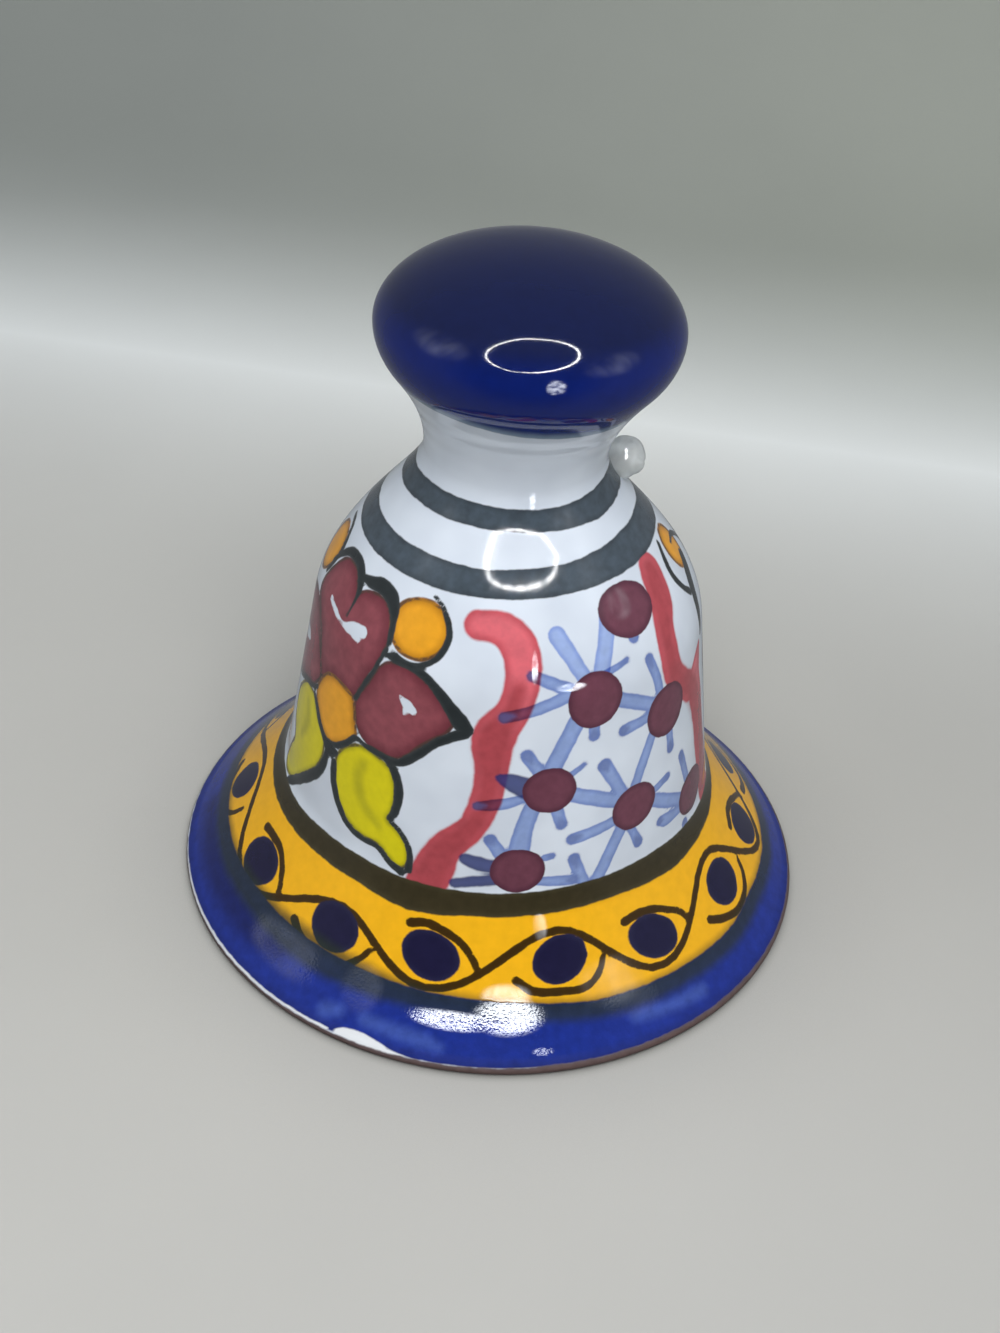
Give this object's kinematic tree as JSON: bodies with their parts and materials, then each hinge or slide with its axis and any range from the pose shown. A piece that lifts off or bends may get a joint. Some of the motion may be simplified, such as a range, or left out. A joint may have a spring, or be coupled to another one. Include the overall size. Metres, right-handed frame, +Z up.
{
  "type": "table bell",
  "caption": "Hand-painted glazed earthenware table bell: flared skirt, barrel, waisted neck and mushroom knob, with a ball clapper that swings from a pin through the neck.",
  "frame": {"origin": "centre of the foot ring, on the surface that the bell stands on", "axes": "+Z up along the bell's own axis; +X along the neck pin, towards the clear drop on its outer end"},
  "size_m": [0.086, 0.086, 0.089],
  "materials": {
    "painted_glaze": "glossy white glaze over red earthenware, painted by hand",
    "bare_earthenware": "unglazed fired red clay",
    "steel_wire": "drawn, dull",
    "clear_resin": "clear, glossy"
  },
  "bodies": {
    "bell": {"bell_shell": "painted_glaze", "neck_pin": "steel_wire", "clear_drop": "clear_resin"},
    "link": {"hanger_link": "steel_wire"},
    "clapper": {"clapper_wire": "steel_wire"},
    "ball": {"clapper_ball": "bare_earthenware"}
  },
  "joints": [
    {"name": "link_swing", "type": "hinge", "parent": "bell", "child": "link", "pos_m": [0, 0, 0.062], "axis": [1, 0, 0], "range_deg": [-14, 14]},
    {"name": "clapper_swing", "type": "hinge", "parent": "link", "child": "clapper", "pos_m": [0, 0, 0.0549], "axis": [0, 1, 0], "range_deg": [-17, 17]},
    {"name": "ball_turn", "type": "hinge", "parent": "clapper", "child": "ball", "pos_m": [0, 0, 0.021], "axis": [0, 0, 1], "continuous": true}
  ]
}
